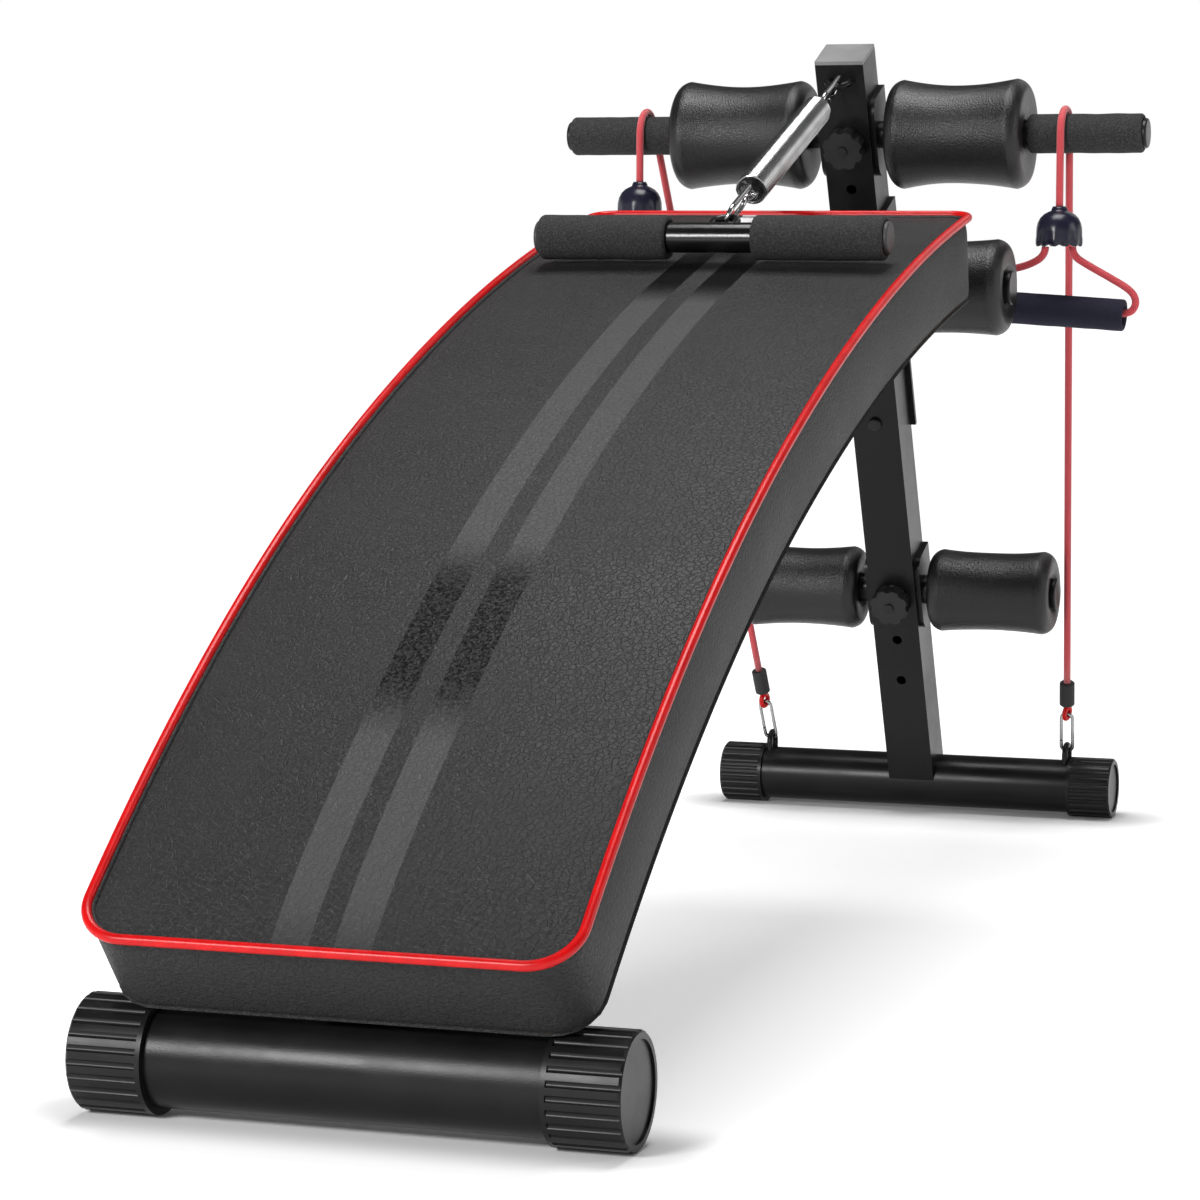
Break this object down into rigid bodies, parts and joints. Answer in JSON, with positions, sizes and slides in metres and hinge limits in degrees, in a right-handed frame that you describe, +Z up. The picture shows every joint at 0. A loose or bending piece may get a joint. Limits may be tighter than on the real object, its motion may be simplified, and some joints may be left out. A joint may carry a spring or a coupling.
{
  "type": "decline sit up bench",
  "caption": "Decline sit-up bench: arched padded board on a curved beam, leaning post with foam leg rollers, spring pull handle and elastic cords.",
  "frame": {"origin": "on the floor under the middle of the bench, half way between the pad front and the back of the rear foot, on the centre plane", "axes": "+X across the bench to the right seen from the low pad end, +Y from the low pad end to the roller post, +Z up"},
  "size_m": [0.486, 1.4042, 0.6609],
  "materials": {
    "black_paint": "satin",
    "gloss_paint": "gloss",
    "cap_plastic": "satin ribbed",
    "grey_plastic": "satin",
    "knob_plastic": "satin",
    "dome_plastic": "gloss",
    "black_leather": "pebbled artificial leather",
    "red_piping": "gloss welt",
    "plywood": "raw",
    "steel": "zinc plated",
    "black_steel": "black oxide",
    "chrome": "polished",
    "grip_foam": "matte foam",
    "cord_grip_foam": "fine matte foam",
    "red_cord": "braided elastic",
    "red_ring": "gloss",
    "sleeve_rubber": "matte",
    "roller_foam": "smooth skinned foam"
  },
  "bodies": {
    "bench_frame": {"bar_end_plugs": "cap_plastic", "beam_bracket": "black_paint", "cord_end_rings": "red_ring", "cord_hook_left": "chrome", "cord_hook_right": "chrome", "cord_left": "red_cord", "cord_right": "red_cord", "cord_sleeves": "sleeve_rubber", "frame_bolts": "black_steel", "front_foot_caps": "cap_plastic", "front_foot_tube": "black_paint", "knee_bars": "black_paint", "knee_cheeks": "black_paint", "lower_bars": "black_paint", "lower_bolt": "black_steel", "lower_saddle": "black_paint", "main_beam": "black_paint", "pad_board": "plywood", "pad_cushion": "black_leather", "pad_piping": "red_piping", "pad_screws": "steel", "pad_tabs": "black_paint", "post_spring_eye": "black_paint", "post_top_cap": "grey_plastic", "post_tube": "black_paint", "rear_cord_eyes": "black_paint", "rear_foot_caps": "cap_plastic", "rear_foot_tube": "black_paint", "top_bars": "black_paint", "top_bolt": "black_steel", "top_grips": "grip_foam", "top_saddle": "black_paint"},
    "top_roller_left": {"top_roller_left": "roller_foam"},
    "top_roller_right": {"top_roller_right": "roller_foam"},
    "knee_roller_left": {"knee_roller_left": "roller_foam"},
    "knee_roller_right": {"knee_roller_right": "roller_foam"},
    "lower_roller_left": {"lower_roller_left": "roller_foam"},
    "lower_roller_right": {"lower_roller_right": "roller_foam"},
    "top_knob_washer": {"top_knob_washer": "steel"},
    "top_knob": {"top_knob": "knob_plastic"},
    "lower_knob_washer": {"lower_knob_washer": "steel"},
    "lower_knob": {"lower_knob": "knob_plastic"},
    "spring": {"top_snap_hook": "chrome", "tension_spring": "chrome"},
    "top_snap_hook_gate": {"top_snap_hook_gate": "chrome"},
    "pull_handle": {"lower_snap_hook": "chrome", "handle_bar": "gloss_paint", "handle_grips": "grip_foam", "handle_end_plugs": "grey_plastic"},
    "lower_snap_hook_gate": {"lower_snap_hook_gate": "chrome"},
    "cord_handle_left": {"cord_dome_left": "dome_plastic", "cord_grip_left": "cord_grip_foam", "handle_cord_left": "red_cord"},
    "cord_hook_gate_left": {"cord_hook_gate_left": "chrome"},
    "cord_handle_right": {"cord_dome_right": "dome_plastic", "cord_grip_right": "cord_grip_foam", "handle_cord_right": "red_cord"},
    "cord_hook_gate_right": {"cord_hook_gate_right": "chrome"}
  },
  "joints": [
    {"name": "top_roller_left_spin", "type": "hinge", "parent": "bench_frame", "child": "top_roller_left", "pos_m": [-0.09025, 0.43403, 0.58809], "axis": [1, 0, 0], "continuous": true},
    {"name": "top_roller_right_spin", "type": "hinge", "parent": "bench_frame", "child": "top_roller_right", "pos_m": [0.09025, 0.43403, 0.58809], "axis": [1, 0, 0], "continuous": true},
    {"name": "knee_roller_left_spin", "type": "hinge", "parent": "bench_frame", "child": "knee_roller_left", "pos_m": [-0.099, 0.3593, 0.466], "axis": [1, 0, 0], "continuous": true},
    {"name": "knee_roller_right_spin", "type": "hinge", "parent": "bench_frame", "child": "knee_roller_right", "pos_m": [0.099, 0.3593, 0.466], "axis": [1, 0, 0], "continuous": true},
    {"name": "lower_roller_left_spin", "type": "hinge", "parent": "bench_frame", "child": "lower_roller_left", "pos_m": [-0.08375, 0.60016, 0.20234], "axis": [1, 0, 0], "continuous": true},
    {"name": "lower_roller_right_spin", "type": "hinge", "parent": "bench_frame", "child": "lower_roller_right", "pos_m": [0.08375, 0.60016, 0.20234], "axis": [1, 0, 0], "continuous": true},
    {"name": "top_knob_travel", "type": "slide", "parent": "bench_frame", "child": "top_knob_washer", "axis": [0, -0.9184, -0.3955], "range_m": [0, 0.0045]},
    {"name": "top_knob_turn", "type": "hinge", "parent": "top_knob_washer", "child": "top_knob", "pos_m": [0, 0.40647, 0.57622], "axis": [0, -0.9184, -0.3955], "range_deg": [0, 1080]},
    {"name": "lower_knob_travel", "type": "slide", "parent": "bench_frame", "child": "lower_knob_washer", "axis": [0, -0.9184, -0.3955], "range_m": [0, 0.0045]},
    {"name": "lower_knob_turn", "type": "hinge", "parent": "lower_knob_washer", "child": "lower_knob", "pos_m": [0, 0.5726, 0.19048], "axis": [0, -0.9184, -0.3955], "range_deg": [0, 1080]},
    {"name": "spring_swing", "type": "hinge", "parent": "bench_frame", "child": "spring", "pos_m": [0, 0.38104, 0.62516], "axis": [-1, 0, 0], "range_deg": [0, 14]},
    {"name": "handle_pull", "type": "slide", "parent": "spring", "child": "pull_handle", "axis": [0, -0.9425, -0.3343], "range_m": [0, 0.22], "stiffness_N_per_m": 350, "springref_m": -0.05, "deforming": ["tension_spring"]},
    {"name": "cord_handle_left_pull", "type": "slide", "parent": "bench_frame", "child": "cord_handle_left", "axis": [0, 0, -1], "range_m": [0, 0.25], "stiffness_N_per_m": 120, "springref_m": -0.03, "deforming": ["cord_left"]},
    {"name": "cord_handle_right_pull", "type": "slide", "parent": "bench_frame", "child": "cord_handle_right", "axis": [0, 0, -1], "range_m": [0, 0.25], "stiffness_N_per_m": 120, "springref_m": -0.03, "deforming": ["cord_right"]},
    {"name": "top_snap_hook_gate_open", "type": "hinge", "parent": "spring", "child": "top_snap_hook_gate", "pos_m": [-0.0038, 0.37087, 0.61289], "axis": [-0.9063, -0.1413, 0.3983], "range_deg": [0, 20], "stiffness_Nm_per_rad": 0.02, "springref_deg": -28.65},
    {"name": "lower_snap_hook_gate_open", "type": "hinge", "parent": "pull_handle", "child": "lower_snap_hook_gate", "pos_m": [-0.0038, 0.11791, 0.52316], "axis": [-0.9063, -0.1413, 0.3983], "range_deg": [0, 20], "stiffness_Nm_per_rad": 0.02, "springref_deg": -28.65},
    {"name": "cord_hook_gate_left_open", "type": "hinge", "parent": "bench_frame", "child": "cord_hook_gate_left", "pos_m": [-0.14014, 0.67002, 0.0682], "axis": [0, 0.9241, 0.3822], "range_deg": [0, 18], "stiffness_Nm_per_rad": 0.01, "springref_deg": -28.65},
    {"name": "cord_hook_gate_right_open", "type": "hinge", "parent": "bench_frame", "child": "cord_hook_gate_right", "pos_m": [0.13016, 0.66975, 0.06885], "axis": [0, 0.9241, 0.3822], "range_deg": [0, 18], "stiffness_Nm_per_rad": 0.01, "springref_deg": -28.65}
  ],
  "couplings": [
    {"joint": "top_knob_travel", "follows": "top_knob_turn", "m_per_rad": 0.00023873},
    {"joint": "lower_knob_travel", "follows": "lower_knob_turn", "m_per_rad": 0.00023873},
    {"joint": "spring_swing", "follows": "handle_pull", "rad_per_m": 1}
  ]
}
